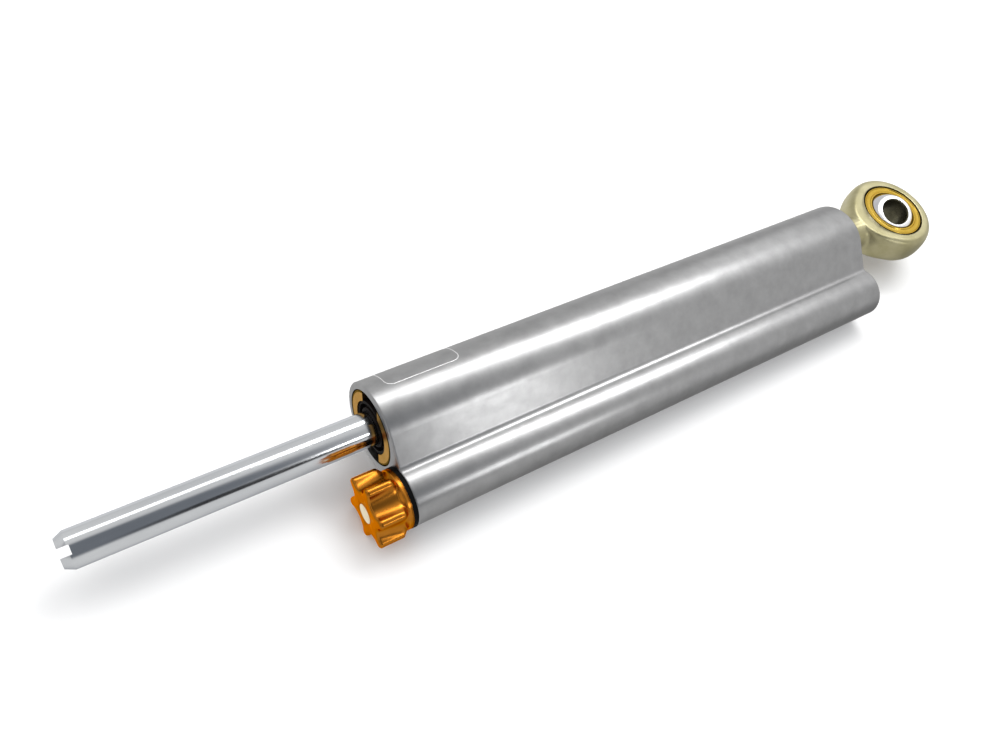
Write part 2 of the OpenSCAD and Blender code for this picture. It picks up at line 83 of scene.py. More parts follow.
def startFinish(name):
    mat = bpy.data.materials.new(name)
    mat.use_nodes = True
    tree = mat.node_tree
    tree.nodes.clear()
    out = addNode(tree, "ShaderNodeOutputMaterial", (900, 0))
    skin = addNode(tree, "ShaderNodeBsdfPrincipled", (600, 0))
    tree.links.new(skin.outputs[0], out.inputs[0])
    return mat, tree, skin


def stretched(tree, stretch, place):
    # object coordinates squeezed along the rod's axis, so that grain runs along it
    coord = addNode(tree, "ShaderNodeTexCoord", (place[0] - 400, place[1]))
    mapping = addNode(tree, "ShaderNodeMapping", (place[0] - 200, place[1]), Scale=stretch)
    tree.links.new(coord.outputs["Object"], mapping.inputs["Vector"])
    return mapping.outputs[0]


def paintedShadeBand(tree, colour, roundAxis, middle, halfWidth, paintedShade):
    # painted shade: a dark ring at one distance from the axis that the piece was turned about,
    # darkening the gap where it meets the next part
    coord = addNode(tree, "ShaderNodeTexCoord", (-700, 700))
    flat = addNode(tree, "ShaderNodeVectorMath", (-500, 700), operation="MULTIPLY")
    flat.inputs[1].default_value = [0 if axis == roundAxis else 1 / mm for axis in "XYZ"]
    reach = addNode(tree, "ShaderNodeVectorMath", (-300, 700), operation="LENGTH")
    near = addNode(tree, "ShaderNodeMath", (-100, 700), operation="COMPARE")
    near.inputs[1].default_value = middle
    near.inputs[2].default_value = halfWidth
    blend = addNode(tree, "ShaderNodeMix", (100, 700), data_type="RGBA")
    blend.inputs["B"].default_value = (*paintedShade, 1)
    tree.links.new(coord.outputs["Object"], flat.inputs[0])
    tree.links.new(flat.outputs[0], reach.inputs[0])
    tree.links.new(reach.outputs["Value"], near.inputs[0])
    tree.links.new(near.outputs[0], blend.inputs["Factor"])
    tree.links.new(colour, blend.inputs["A"])
    return blend.outputs["Result"]


# What all the finishes share: the noises' detail, and which part of their range counts
noiseLook = {"blotchDetail": 6.0, "blotchRoughness": 0.6, "grainDetail": 5.0,
             "grainRoughness": 0.65, "low": 0.3, "high": 0.7, "dentDepth": 0.00002}


def surfaceFinish(name, look):
    mat, tree, skin = startFinish(name)
    link = tree.links.new
    skin.inputs["Metallic"].default_value = look.get("metallic", 1.0)
    skin.inputs["Specular IOR Level"].default_value = look.get("specular", 0.5)
    skin.inputs["Specular Tint"].default_value = (*look.get("edgeTint", (1, 1, 1)), 1)

    # blotches: slow changes of colour over a few millimetres
    blotch = addNode(tree, "ShaderNodeTexNoise", (-300, 300), Scale=look["blotchScale"],
                     Detail=noiseLook["blotchDetail"], Roughness=noiseLook["blotchRoughness"])
    blotchPlace = stretched(tree, look.get("blotchStretch", (1, 1, 1)), (-500, 300))
    link(blotchPlace, blotch.inputs["Vector"])
    tone = addNode(tree, "ShaderNodeValToRGB", (-80, 300))
    tone.color_ramp.elements[0].position = noiseLook["low"]
    tone.color_ramp.elements[1].position = noiseLook["high"]
    tone.color_ramp.elements[0].color = (*look["dark"], 1)
    tone.color_ramp.elements[1].color = (*look["light"], 1)
    link(blotch.outputs["Fac"], tone.inputs["Fac"])
    colour = tone.outputs["Color"]
    # painted shade: dark rings in the gaps where this piece meets its neighbour
    for band in look.get("paintedShade", []):
        colour = paintedShadeBand(tree, colour, look["roundAxis"], *band)
    link(colour, skin.inputs["Base Color"])

    # grain: fine marks that change the gloss and dent the surface
    grain = addNode(tree, "ShaderNodeTexNoise", (-300, -100), Scale=look["grainScale"],
                    Detail=look.get("grainDetail", noiseLook["grainDetail"]),
                    Roughness=noiseLook["grainRoughness"])
    grainPlace = stretched(tree, look.get("grainStretch", (1, 1, 1)), (-500, -100))
    link(grainPlace, grain.inputs["Vector"])
    gloss = addNode(tree, "ShaderNodeMapRange", (200, -60))
    gloss.inputs["From Min"].default_value = noiseLook["low"]
    gloss.inputs["From Max"].default_value = noiseLook["high"]
    gloss.inputs["To Min"].default_value = look["smooth"]
    gloss.inputs["To Max"].default_value = look["rough"]
    link(grain.outputs["Fac"], gloss.inputs["Value"])
    link(gloss.outputs["Result"], skin.inputs["Roughness"])
    dent = addNode(tree, "ShaderNodeBump", (300, -300), Strength=look["bump"],
                   Distance=look.get("bumpDepth", noiseLook["dentDepth"]))
    link(grain.outputs["Fac"], dent.inputs["Height"])
    link(dent.outputs["Normal"], skin.inputs["Normal"])
    return mat


finishLooks = {
    "tubeAluminium": {
        "dark": (0.34, 0.34, 0.342), "light": (0.415, 0.415, 0.417), "blotchScale": 260,
        "smooth": 0.3, "rough": 0.335, "grainScale": 600, "grainStretch": (0.4, 1, 1),
        "grainDetail": 2.0, "bump": 0.0, "edgeTint": (0.6, 0.6, 0.6),
    },
    "etchedLine": {
        "dark": (0.7, 0.7, 0.7), "light": (0.85, 0.85, 0.85), "blotchScale": 600,
        "smooth": 0.35, "rough": 0.55, "grainScale": 2500, "bump": 0.1,
    },
    "sealHeadGold": {
        "dark": (0.31, 0.185, 0.065), "light": (0.42, 0.26, 0.11), "blotchScale": 300,
        "smooth": 0.25, "rough": 0.4, "grainScale": 1500, "bump": 0.05,
        "edgeTint": (1.0, 0.75, 0.45), "roundAxis": "X",
        # painted shade at the gland's rim, in the gap to the tube's bore
        "paintedShade": [(8.9, 0.46, (0.006, 0.004, 0.003))],
    },
    "blackRubber": {
        "dark": (0.006, 0.004, 0.0035), "light": (0.012, 0.009, 0.008), "blotchScale": 400,
        "smooth": 0.55, "rough": 0.75, "grainScale": 2500, "bump": 0.2, "metallic": 0.0,
        "specular": 0.05,
    },
    "clickBlack": {
        "dark": (0.002, 0.002, 0.002), "light": (0.005, 0.005, 0.005), "blotchScale": 400,
        "smooth": 0.45, "rough": 0.6, "grainScale": 2000, "bump": 0.1, "metallic": 0.0,
        "specular": 0.04,
    },
    "bearingBronze": {
        "dark": (0.36, 0.22, 0.1), "light": (0.48, 0.31, 0.15), "blotchScale": 300,
        "smooth": 0.3, "rough": 0.45, "grainScale": 1500, "bump": 0.1,
    },
    "turnedAluminium": {
        "dark": (0.5, 0.5, 0.49), "light": (0.62, 0.62, 0.6), "blotchScale": 200,
        "smooth": 0.25, "rough": 0.4, "grainScale": 1600, "grainStretch": (3, 1, 1), "bump": 0.12,
    },
    "filledPlastic": {
        "dark": (0.24, 0.22, 0.17), "light": (0.32, 0.3, 0.24), "blotchScale": 350,
        "smooth": 0.4, "rough": 0.55, "grainScale": 2000, "bump": 0.12, "metallic": 0.0,
    },
    "oiledSpringSteel": {
        "dark": (0.16, 0.16, 0.17), "light": (0.3, 0.3, 0.31), "blotchScale": 500,
        "smooth": 0.25, "rough": 0.42, "grainScale": 1800, "bump": 0.12,
    },
    "rodChrome": {
        "dark": (0.6, 0.615, 0.635), "light": (0.71, 0.725, 0.74), "blotchScale": 150,
        "blotchStretch": (0.2, 1, 1), "smooth": 0.11, "rough": 0.16, "grainScale": 1200,
        "grainStretch": (0.12, 1, 1), "bump": 0.05, "bumpDepth": 0.00001,
        "edgeTint": (0.55, 0.56, 0.58),
    },
    "passivatedSteel": {
        "dark": (0.37, 0.338, 0.18), "light": (0.51, 0.47, 0.29), "blotchScale": 170,
        "smooth": 0.32, "rough": 0.5, "grainScale": 700, "bump": 0.2, "bumpDepth": 0.00004,
        # painted shade at the head's hole edge, in the gap to the liner
        "roundAxis": "Z", "paintedShade": [(9.5, 0.16, (0.03, 0.022, 0.008))],
    },
    "linerBrass": {
        "dark": (0.46, 0.3, 0.045), "light": (0.53, 0.36, 0.07), "blotchScale": 250,
        "smooth": 0.2, "rough": 0.26, "grainScale": 900, "grainDetail": 2.0, "bump": 0.0,
        "edgeTint": (1.0, 0.8, 0.4), "roundAxis": "Z",
        # painted shade at the liner's rim by the head and at its lip by the ball
        "paintedShade": [(9.25, 0.14, (0.03, 0.02, 0.006)), (6.72, 0.24, (0.06, 0.035, 0.008))],
    },
    "ballChrome": {
        "dark": (0.6, 0.6, 0.62), "light": (0.7, 0.7, 0.72), "blotchScale": 200,
        "smooth": 0.05, "rough": 0.12, "grainScale": 1500, "bump": 0.02, "bumpDepth": 0.00001,
    },
    "groundFace": {
        "dark": (0.9, 0.9, 0.9), "light": (0.97, 0.97, 0.97), "blotchScale": 300,
        "smooth": 0.3, "rough": 0.45, "grainScale": 1800, "bump": 0.03,
    },
    # painted shade: a dark finish for the inside of the ball's bore
    "paintedShadeBore": {
        "dark": (0.05, 0.046, 0.026), "light": (0.12, 0.11, 0.065), "blotchScale": 300,
        "smooth": 0.22, "rough": 0.4, "grainScale": 1500, "bump": 0.05, "metallic": 0.9,
    },
    "knobAnodised": {
        "dark": (0.44, 0.155, 0.016), "light": (0.56, 0.21, 0.024), "blotchScale": 220,
        "smooth": 0.24, "rough": 0.27, "grainScale": 900, "grainDetail": 2.0, "bump": 0.0,
        "edgeTint": (1.0, 0.5, 0.1),
    },
    "capSteel": {
        "dark": (0.78, 0.64, 0.41), "light": (0.92, 0.79, 0.55), "blotchScale": 400,
        "smooth": 0.25, "rough": 0.4, "grainScale": 1800, "bump": 0.05,
    },
    "valveBrass": {
        "dark": (0.52, 0.37, 0.14), "light": (0.68, 0.5, 0.22), "blotchScale": 300,
        "smooth": 0.22, "rough": 0.36, "grainScale": 1500, "bump": 0.1,
    },
}
finishes = {name: surfaceFinish(name, look) for name, look in finishLooks.items()}

nodeFinishes = {
    "body": "tubeAluminium", "front_gland": "sealHeadGold", "rear_gland": "sealHeadGold",
    "front_wiper": "blackRubber", "rear_wiper": "blackRubber",
    "front_rod_seal": "blackRubber", "rear_rod_seal": "blackRubber",
    "front_gland_o_ring": "blackRubber", "rear_gland_o_ring": "blackRubber",
    "front_rod_bush": "bearingBronze", "rear_rod_bush": "bearingBronze",
    "port_plugs": "turnedAluminium", "piston": "turnedAluminium", "piston_seal": "filledPlastic",
    "seal_energiser": "blackRubber", "guide_rings": "filledPlastic",
    "piston_clips": "oiledSpringSteel", "piston_rod": "rodChrome",
    "eye_housing": "passivatedSteel", "eye_liner": "linerBrass", "eye_ball": "ballChrome",
    "adjuster_knob": "knobAnodised", "knob_screw": "capSteel", "click_ring": "clickBlack",
    "click_ball": "ballChrome", "click_spring": "oiledSpringSteel", "spindle": "turnedAluminium",
    "spindle_o_ring": "blackRubber", "spindle_clip": "oiledSpringSteel",
    "valve_cartridge": "valveBrass", "cartridge_o_ring": "blackRubber", "needle": "capSteel",
    "needle_o_ring": "blackRubber", "valve_seat": "valveBrass",
    "floating_piston": "turnedAluminium", "floating_piston_o_ring": "blackRubber",
    "reservoir_spring": "oiledSpringSteel", "end_plug": "turnedAluminium",
    "end_plug_o_ring": "blackRubber", "end_plug_clip": "oiledSpringSteel",
}
for name, cadNode in nodes.items():
    cadNode.data.materials.clear()
    cadNode.data.materials.append(finishes[nodeFinishes[name]])
print("finishes made:", len(finishes))


# Mesh helpers

def addPiece(name, mesh, finish, body):
    mesh.materials.clear()
    mesh.materials.append(finishes[finish])
    piece = bpy.data.objects.new(name, mesh)
    bpy.context.scene.collection.objects.link(piece)
    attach(piece, body)
    return piece


def ringMesh(name, rings, sharpAngle):
    # closed skin through rings of equal length, joined all round in both directions
    bm = bmesh.new()
    rows = [[bm.verts.new(Vector(p) * mm) for p in ring] for ring in rings]
    for i, row in enumerate(rows):
        following = rows[(i + 1) % len(rows)]
        for j in range(len(row)):
            k = (j + 1) % len(row)
            bm.faces.new((row[j], row[k], following[k], following[j]))
    bmesh.ops.recalc_face_normals(bm, faces=bm.faces)
    mesh = bpy.data.meshes.new(name)
    bm.to_mesh(mesh)
    bm.free()
    mesh.shade_smooth()
    mesh.set_sharp_from_angle(angle=math.radians(sharpAngle))
    return mesh


def smoothMax(a, b, blend):
    # the larger of two reaches, rounded over where they cross
    near = max(blend - abs(a - b), 0) / blend
    return max(a, b) + near * near * blend / 4


# Body: one extrusion with two round lobes, straight flats and a fillet between flat and lobe,
# machined from both ends
tubeLook = {"webAngle": 60, "creaseR": 1.8, "creaseSteps": 12, "edge": 0.45, "edgeSteps": 5,
            "arcStep": 3, "holeSteps": 120, "seatR": 9.15, "seatLength": 30.1, "boreR": 8.5,
            "valveR": 5.2, "valveDepth": 41.0, "passageR": 3.5, "reservoirDepth": 35.6,
            "clipR": 5.9, "clipDepth": 2.6, "clipWidth": 1.0, "portR": 1.5, "portDepth": 33.1,
            "portBite": 0.2, "drillLength": 5, "drillSegments": 48, "sharp": 50}


def tubeOutline(look):
    # ordered (place, outward direction) pairs round the section, the small lobe on the +a side
    tubeR, lobeR, crease = damper["tubeR"], damper["lobeR"], look["creaseR"]
    gap = math.hypot(damper["lobeY"], damper["lobeZ"])
    web = math.radians(look["webAngle"])
    flat = Vector((math.cos(web), math.sin(web)))
    along = Vector((math.sin(web), -math.cos(web)))
    lobe = Vector((gap, 0))
    reach = flat * (tubeR + crease) - lobe
    side = reach.dot(along)
    run = -side - math.sqrt(side * side - reach.dot(reach) + (lobeR + crease) ** 2)
    centre = flat * (tubeR + crease) + along * run
    start = math.atan2(-flat.y, -flat.x)
    toLobe = lobe - centre
    end = math.atan2(toLobe.y, toLobe.x)
    touch = math.atan2(-toLobe.y, -toLobe.x)
    creaseArc = []
    count = look["creaseSteps"]
    for i in range(count + 1):
        a = start + (end - start) * i / count
        out = Vector((math.cos(a), math.sin(a)))
        creaseArc.append((centre + out * crease, -out))
    lobeArc = []
    count = round(math.degrees(touch) / look["arcStep"])
    for i in range(1, count + 1):
        a = touch * (1 - i / count)
        out = Vector((math.cos(a), math.sin(a)))
        lobeArc.append((lobe + out * lobeR, out))
    tubeArc = []
    count = round((180 - look["webAngle"]) / look["arcStep"])
    for i in range(count + 1):
        a = math.pi + (web - math.pi) * i / count
        out = Vector((math.cos(a), math.sin(a)))
        tubeArc.append((out * tubeR, out))
    upper = tubeArc + creaseArc + lobeArc
    lower = [(Vector((p.x, -p.y)), Vector((n.x, -n.y))) for p, n in reversed(upper[1:-1])]
    turn = Matrix.Rotation(math.atan2(damper["lobeZ"], damper["lobeY"]), 2)
    return [(turn @ p, turn @ n) for p, n in upper + lower]


def makeTube(look):
    front, rear = damper["frontX"], damper["rearX"]
    outline = tubeOutline(look)
    edge = look["edge"]
    bm = bmesh.new()

    def outerRing(x, inset):
        return [bm.verts.new(Vector((x, p.x - n.x * inset, p.y - n.y * inset)) * mm)
                for p, n in outline]

    def holeRing(x, y, z, radius):
        count = look["holeSteps"]
        return [bm.verts.new(Vector((x, y + radius * math.cos(math.tau * i / count),
                                     z + radius * math.sin(math.tau * i / count))) * mm)
                for i in range(count)]

    def joinRings(rings):
        for one, two in zip(rings, rings[1:]):
            for j in range(len(one)):
                k = (j + 1) % len(one)
                bm.faces.new((one[j], one[k], two[k], two[j]))

    steps = look["edgeSteps"]
    softEnd = [(edge * (1 - math.cos(a)), edge * (1 - math.sin(a)))
               for a in (math.pi / 2 * i / steps for i in range(steps + 1))]
    skin = [outerRing(front + x, inset) for x, inset in softEnd]
    skin += [outerRing(rear - x, inset) for x, inset in reversed(softEnd)]
    seat = look["seatLength"]
    bore = [(front, look["seatR"]), (front + seat, look["seatR"]), (front + seat, look["boreR"]),
            (rear - seat, look["boreR"]), (rear - seat, look["seatR"]), (rear, look["seatR"])]
    valve, start = front + look["valveDepth"], rear - look["reservoirDepth"]
    groove = rear - look["clipDepth"]
    small = [(front, look["valveR"]), (valve, look["valveR"]), (valve, look["passageR"]),
             (start, look["passageR"]), (start, look["valveR"]), (groove, look["valveR"]),
             (groove, look["clipR"]), (groove + look["clipWidth"], look["clipR"]),
             (groove + look["clipWidth"], look["valveR"]), (rear, look["valveR"])]
    boreRings = [holeRing(x, 0, 0, r) for x, r in bore]
    smallRings = [holeRing(x, damper["lobeY"], damper["lobeZ"], r) for x, r in small]
    for rings in (skin, boreRings, smallRings):
        joinRings(rings)
    for end in (0, -1):
        edges = []
        for rings in (skin, boreRings, smallRings):
            ring = rings[end]
            edges += [bm.edges.get((ring[j], ring[(j + 1) % len(ring)])) for j in range(len(ring))]
        bmesh.ops.triangle_fill(bm, edges=edges, use_beauty=True, use_dissolve=False)
    bmesh.ops.recalc_face_normals(bm, faces=bm.faces)
    mesh = bpy.data.meshes.new("tubeBody")
    bm.to_mesh(mesh)
    bm.free()
    tube = addPiece("tubeBody", mesh, "tubeAluminium", "housing")
    drillPorts(tube, look)
    tube.data.shade_smooth()
    tube.data.set_sharp_from_angle(angle=math.radians(look["sharp"]))
    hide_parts("body")


def drillPorts(tube, look):
    # the two cross drillings come in from the big lobe's far side
    towards = Vector((0, damper["lobeY"], damper["lobeZ"])).normalized()
    for x in (damper["frontX"] + look["portDepth"], damper["rearX"] - look["portDepth"]):
        bm = bmesh.new()
        middle = Vector((x, 0, 0)) - towards * (damper["tubeR"] - look["portBite"])
        bmesh.ops.create_cone(bm, cap_ends=True, segments=look["drillSegments"],
                              radius1=look["portR"] * mm, radius2=look["portR"] * mm,
                              depth=look["drillLength"] * mm)
        turn = towards.to_track_quat("Z", "Y").to_matrix().to_4x4()
        place = Matrix.Translation(middle * mm) @ turn
        bmesh.ops.transform(bm, matrix=place, verts=bm.verts)
        mesh = bpy.data.meshes.new("portDrill")
        bm.to_mesh(mesh)
        bm.free()
        drill = bpy.data.objects.new("portDrill", mesh)
        bpy.context.scene.collection.objects.link(drill)
        cut = tube.modifiers.new("port", "BOOLEAN")
        cut.operation = "DIFFERENCE"
        cut.solver = "EXACT"
        cut.object = drill
        bpy.context.view_layer.update()
        drilled = tube.evaluated_get(bpy.context.evaluated_depsgraph_get())
        cutMesh = bpy.data.meshes.new_from_object(drilled)
        tube.modifiers.clear()
        tube.data = cutMesh
        bpy.data.objects.remove(drill)


makeTube(tubeLook)

# Label field: a fine raised line round a plain field on top of the tube
labelLook = {"from": (-172.2, 27), "to": (-153.6, 72), "corner": 1.8, "cornerSteps": 8,
             "spacing": 0.4, "line": 0.11, "sides": 8, "proud": 0.04, "sunk": 3,
             "sharp": 60}


def makeLabel(look):
    radius = damper["tubeR"]
    perDegree = math.radians(1) * radius
    x0, x1 = look["from"][0], look["to"][0]
    s0, s1 = look["from"][1] * perDegree, look["to"][1] * perDegree
    corner = look["corner"]
    path = []
    for cx, cs, start in ((x1 - corner, s1 - corner, 0), (x0 + corner, s1 - corner, 90),
                          (x0 + corner, s0 + corner, 180), (x1 - corner, s0 + corner, 270)):
        for i in range(look["cornerSteps"] + 1):
            a = math.radians(start + 90 * i / look["cornerSteps"])
            path.append(Vector((cx + corner * math.cos(a), cs + corner * math.sin(a))))
    dense = []
    for one, two in zip(path, path[1:] + path[:1]):
        parts = max(1, math.ceil((two - one).length / look["spacing"]))
        dense += [one.lerp(two, i / parts) for i in range(parts)]
    rings = []
    for i, point in enumerate(dense):
        run = dense[(i + 1) % len(dense)] - dense[i - 1]
        side = Vector((run.y, -run.x)).normalized()
        ring = []
        for j in range(look["sides"]):
            a = math.tau * j / look["sides"]
            spot = point + side * look["line"] * math.cos(a)
            deeper = 1 if math.sin(a) > 0 else look["sunk"]
            height = radius + look["proud"] * math.sin(a) * deeper
            turn = spot.y / radius
            ring.append((spot.x, height * math.cos(turn), height * math.sin(turn)))
        rings.append(ring)
    mesh = ringMesh("labelLine", rings, look["sharp"])
    addPiece("labelLine", mesh, "etchedLine", "housing")


makeLabel(labelLook)
print("body made")

# Adjuster knob: six lobes with round tips, scallops that rise and run out on a conical flange
knobLook = {"lobes": 6, "lobeAngle": 17.5, "gripR": 8.15, "tipR": 1.15, "coreR": 5.3,
            "coreRise": 0.1, "coreGap": 0.25, "gripLength": 5.9, "lobeDrop": 0.35,
            "flangeR": 7.05, "flangeLength": 2.2, "rimShare": 0.4, "flangeBlend": 0.2,
            "frontRound": 0.6, "frontSteps": 6, "faceShares": (0.65, 0.85, 0.97),
            "capR": 2.32, "capChamfer": 0.12, "noseR": 2.02, "capDepth": 1.3, "bossR": 4.5,
            "bossDepth": 5.7, "coarseRows": [0.8, 1.4, 2.2, 3, 4, 5, 5.7], "fineFrom": 6,
            "fineStep": 0.15, "fineRows": 20, "rearRound": 0.25, "rearMiddle": (0.06, 0.08),
            "segments": 720, "sharp": 50}


def knobRadius(angle, depth, length, look):
    # a round tip that runs into a round scallop, measured from the nearest lobe's middle
    half = math.pi / look["lobes"]
    off = (angle - math.radians(look["lobeAngle"])) % (2 * half)
    off = half - abs(off - half)
    rim = look["flangeLength"] * look["rimShare"]
    late = max(0, depth - look["gripLength"]) / (length - rim - look["gripLength"])
    late = min(late, 1)
    grip = look["gripR"] + (look["flangeR"] - look["lobeDrop"] - look["gripR"]) * late
    tip, tipPlace, lean = look["tipR"], grip - look["tipR"], math.cos(half)
    core = min(look["coreR"] + look["coreRise"] * depth, tip + tipPlace * lean - look["coreGap"])
    scallop = tipPlace ** 2 + core ** 2 - 2 * tipPlace * lean * core - tip ** 2
    scallop /= 2 * (tip + tipPlace * lean - core)
    place = core + scallop
    joinX = tipPlace + tip * (place * lean - tipPlace) / (tip + scallop)
    joinY = tip * place * math.sin(half) / (tip + scallop)
    if off < math.atan2(joinY, joinX):
        star = tipPlace * math.cos(off) + math.sqrt(tip ** 2 - (tipPlace * math.sin(off)) ** 2)
    else:
        rest = half - off
        star = place * math.cos(rest) - math.sqrt(scallop ** 2 - (place * math.sin(rest)) ** 2)
    back = length - depth
    cone = look["flangeR"]
    if back > rim:
        cone -= (look["flangeR"] - look["coreR"]) * (back - rim) / (look["flangeLength"] - rim)
    return smoothMax(star, cone, look["flangeBlend"])


def knobOutline(depth, inset, length, look):
    # the star at one depth, drawn in by the same distance all round
    count = look["segments"]
    star = []
    for i in range(count):
        a = math.tau * i / count
        star.append(Vector((math.cos(a), math.sin(a))) * knobRadius(a, depth, length, look))
    drawn = []
    for i, point in enumerate(star):
        run = star[(i + 1) % count] - star[i - 1]
        drawn.append(point - Vector((run.y, -run.x)).normalized() * inset)
    return drawn


def makeKnob(look):
    low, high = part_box("adjuster_knob")
    front, length = low[0] / mm, (high[0] - low[0]) / mm
    soft = look["frontRound"]
    rings = []

    def ring(depth, outline):
        rings.append([(front + depth, damper["lobeY"] + p.x, damper["lobeZ"] + p.y)
                      for p in outline])

    def roundRing(depth, radius):
        turns = [math.tau * i / look["segments"] for i in range(look["segments"])]
        ring(depth, [Vector((math.cos(a), math.sin(a))) * radius for a in turns])

    roundRing(look["bossDepth"], look["noseR"])
    roundRing(look["capDepth"], look["noseR"])
    roundRing(look["capDepth"], look["capR"])
    roundRing(look["capChamfer"], look["capR"])
    roundRing(0, look["capR"] + look["capChamfer"])
    face = knobOutline(0, soft, length, look)
    for share in look["faceShares"]:
        ring(0, [p * share for p in face])
    for i in range(look["frontSteps"] + 1):
        turn = math.pi / 2 * i / look["frontSteps"]
        depth = soft * (1 - math.cos(turn))
        ring(depth, knobOutline(depth, soft * (1 - math.sin(turn)), length, look))
    fineRows = [look["fineFrom"] + look["fineStep"] * i for i in range(look["fineRows"])]
    for depth in look["coarseRows"] + fineRows + [length - look["rearRound"]]:
        ring(depth, knobOutline(depth, 0, length, look))
    roundRing(length - look["rearMiddle"][0], look["flangeR"] - look["rearMiddle"][1])
    roundRing(length, look["flangeR"] - look["rearRound"])
    roundRing(length, look["bossR"])
    roundRing(look["bossDepth"], look["bossR"])
    mesh = ringMesh("lobedKnob", rings, look["sharp"])
    knob = addPiece("lobedKnob", mesh, "knobAnodised", "knob")
    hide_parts("adjuster_knob")


makeKnob(knobLook)
print("knob made")

# Eye: a forged head with bulging sides that runs into a shoulder and a round neck
eyeLook = {"headR": 13.4, "rimR": 10.8, "roundness": 2.5, "half": 4.7, "shoulderR": 9.2,
           "shoulderShift": 5.8, "shoulderRound": 0.55, "neckR": 4.6, "neckFacing": 0.5,
           "holeR": 9.36, "holeChamfer": 0.3, "faceShares": (0.5, 1), "shoulderBlend": 2.5,
           "neckBlend": 3.0, "segments": 360, "heights": 40, "sharp": 50}


def eyeReach(angle, z, neckLength, look):
    # distance from the ball's centre to the forging's side, angle 0 towards the rod
    fall = max(0, 1 - (abs(z) / look["half"]) ** look["roundness"]) ** (1 / look["roundness"])
    swell = (look["headR"] - look["rimR"]) * (fall - 1)
    head = look["headR"] + swell
    shoulder = look["shoulderR"] + look["shoulderRound"] * swell
    shift = look["shoulderShift"]
    inside = shoulder ** 2 - (shift * math.sin(angle)) ** 2
    reach = head
    if inside > 0:
        swept = shift * math.cos(angle) + math.sqrt(inside)
        reach = smoothMax(reach, swept, look["shoulderBlend"])
    if math.cos(angle) > look["neckFacing"] and abs(z) < look["neckR"]:
        width = math.sqrt(look["neckR"] ** 2 - z * z)
        across = abs(math.sin(angle))
        neck = neckLength / math.cos(angle)
        if across * neck > width:
            neck = width / across
        reach = min(smoothMax(reach, neck, look["neckBlend"]), neckLength / math.cos(angle))
    return reach


def makeEye(look):
    neckLength = -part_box("piston_rod")[1][0] / mm
    angles = [math.tau * i / look["segments"] for i in range(look["segments"])]
    half = look["half"]
    rings = []

    def ring(z, radius):
        rings.append([(-radius(a) * math.cos(a), radius(a) * math.sin(a), z) for a in angles])

    turns = [math.sin(math.pi / 2 * (1 - 2 * i / look["heights"]))
             for i in range(1, look["heights"])]
    heights = [half * math.copysign(abs(t) ** (2 / look["roundness"]), t) for t in turns]
    for side in (1, -1):
        rows = [(half - look["holeChamfer"], lambda a: look["holeR"]),
                (half, lambda a: look["holeR"] + look["holeChamfer"])]
        for share in look["faceShares"]:
            rows.append((half, lambda a, s=share: look["holeR"] + s * (
                eyeReach(a, half, neckLength, look) - look["holeR"])))
        if side < 0:
            rows.reverse()
        for z, radius in rows:
            ring(side * z, radius)
        if side > 0:
            for z in heights:
                ring(z, lambda a: eyeReach(a, z, neckLength, look))
    mesh = ringMesh("forgedEye", rings, look["sharp"])
    eye = addPiece("forgedEye", mesh, "passivatedSteel", "rod")
    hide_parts("eye_housing")


makeEye(eyeLook)


def turnedRound(name, profile, look):
    # a turned ring about the bolt's axis from (height, radius) points
    count = look["segments"]
    rings = [[(r * math.cos(math.tau * i / count), r * math.sin(math.tau * i / count), z)
              for i in range(count)] for z, r in profile]
    return ringMesh(name, rings, look["sharp"])


# Brass liner: dished faces, a lip at the ball
linerLook = {"outerR": 9.34, "half": 4.6, "chamfer": 0.3, "dishOuterR": 8.7, "dishInnerR": 7.5,
             "dishDepth": 0.3, "dishCorner": 0.7, "dishSlope": 0.2, "seatR": 7.9675,
             "seatSteps": 8, "segments": 240, "sharp": 35}


def makeLiner(look):
    half, dish = look["half"], look["dishDepth"]
    lip = math.sqrt(look["seatR"] ** 2 - half ** 2)
    corner, slope = half - dish * look["dishCorner"], look["dishSlope"]
    top = [(half - look["chamfer"], look["outerR"]), (half, look["outerR"] - look["chamfer"]),
           (half, look["dishOuterR"] + slope), (corner, look["dishOuterR"]),
           (half - dish, (look["dishOuterR"] + look["dishInnerR"]) / 2),
           (corner, look["dishInnerR"]), (half, look["dishInnerR"] - slope), (half, lip)]
    heights = [half * (1 - i / look["seatSteps"]) for i in range(1, look["seatSteps"])]
    heights += [-z for z in reversed(heights)]
    seat = [(z, math.sqrt(look["seatR"] ** 2 - z * z)) for z in heights]
    bottom = [(-z, r) for z, r in reversed(top)]
    mesh = turnedRound("brassLiner", top + seat + bottom, look)
    liner = addPiece("brassLiner", mesh, "linerBrass", "rod")
    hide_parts("eye_liner")


makeLiner(linerLook)

# Ball: polished sphere between two ground faces, bored for the bolt, tipped in its liner
ballLook = {"ballR": 7.9375, "half": 6.0, "boreR": 4.0, "boreChamfer": 0.3, "boreShare": 0.6,
            "edge": 0.12, "tilt": 15.7, "bearing": -130.6, "segments": 240, "steps": 40,
            "sharp": 35}


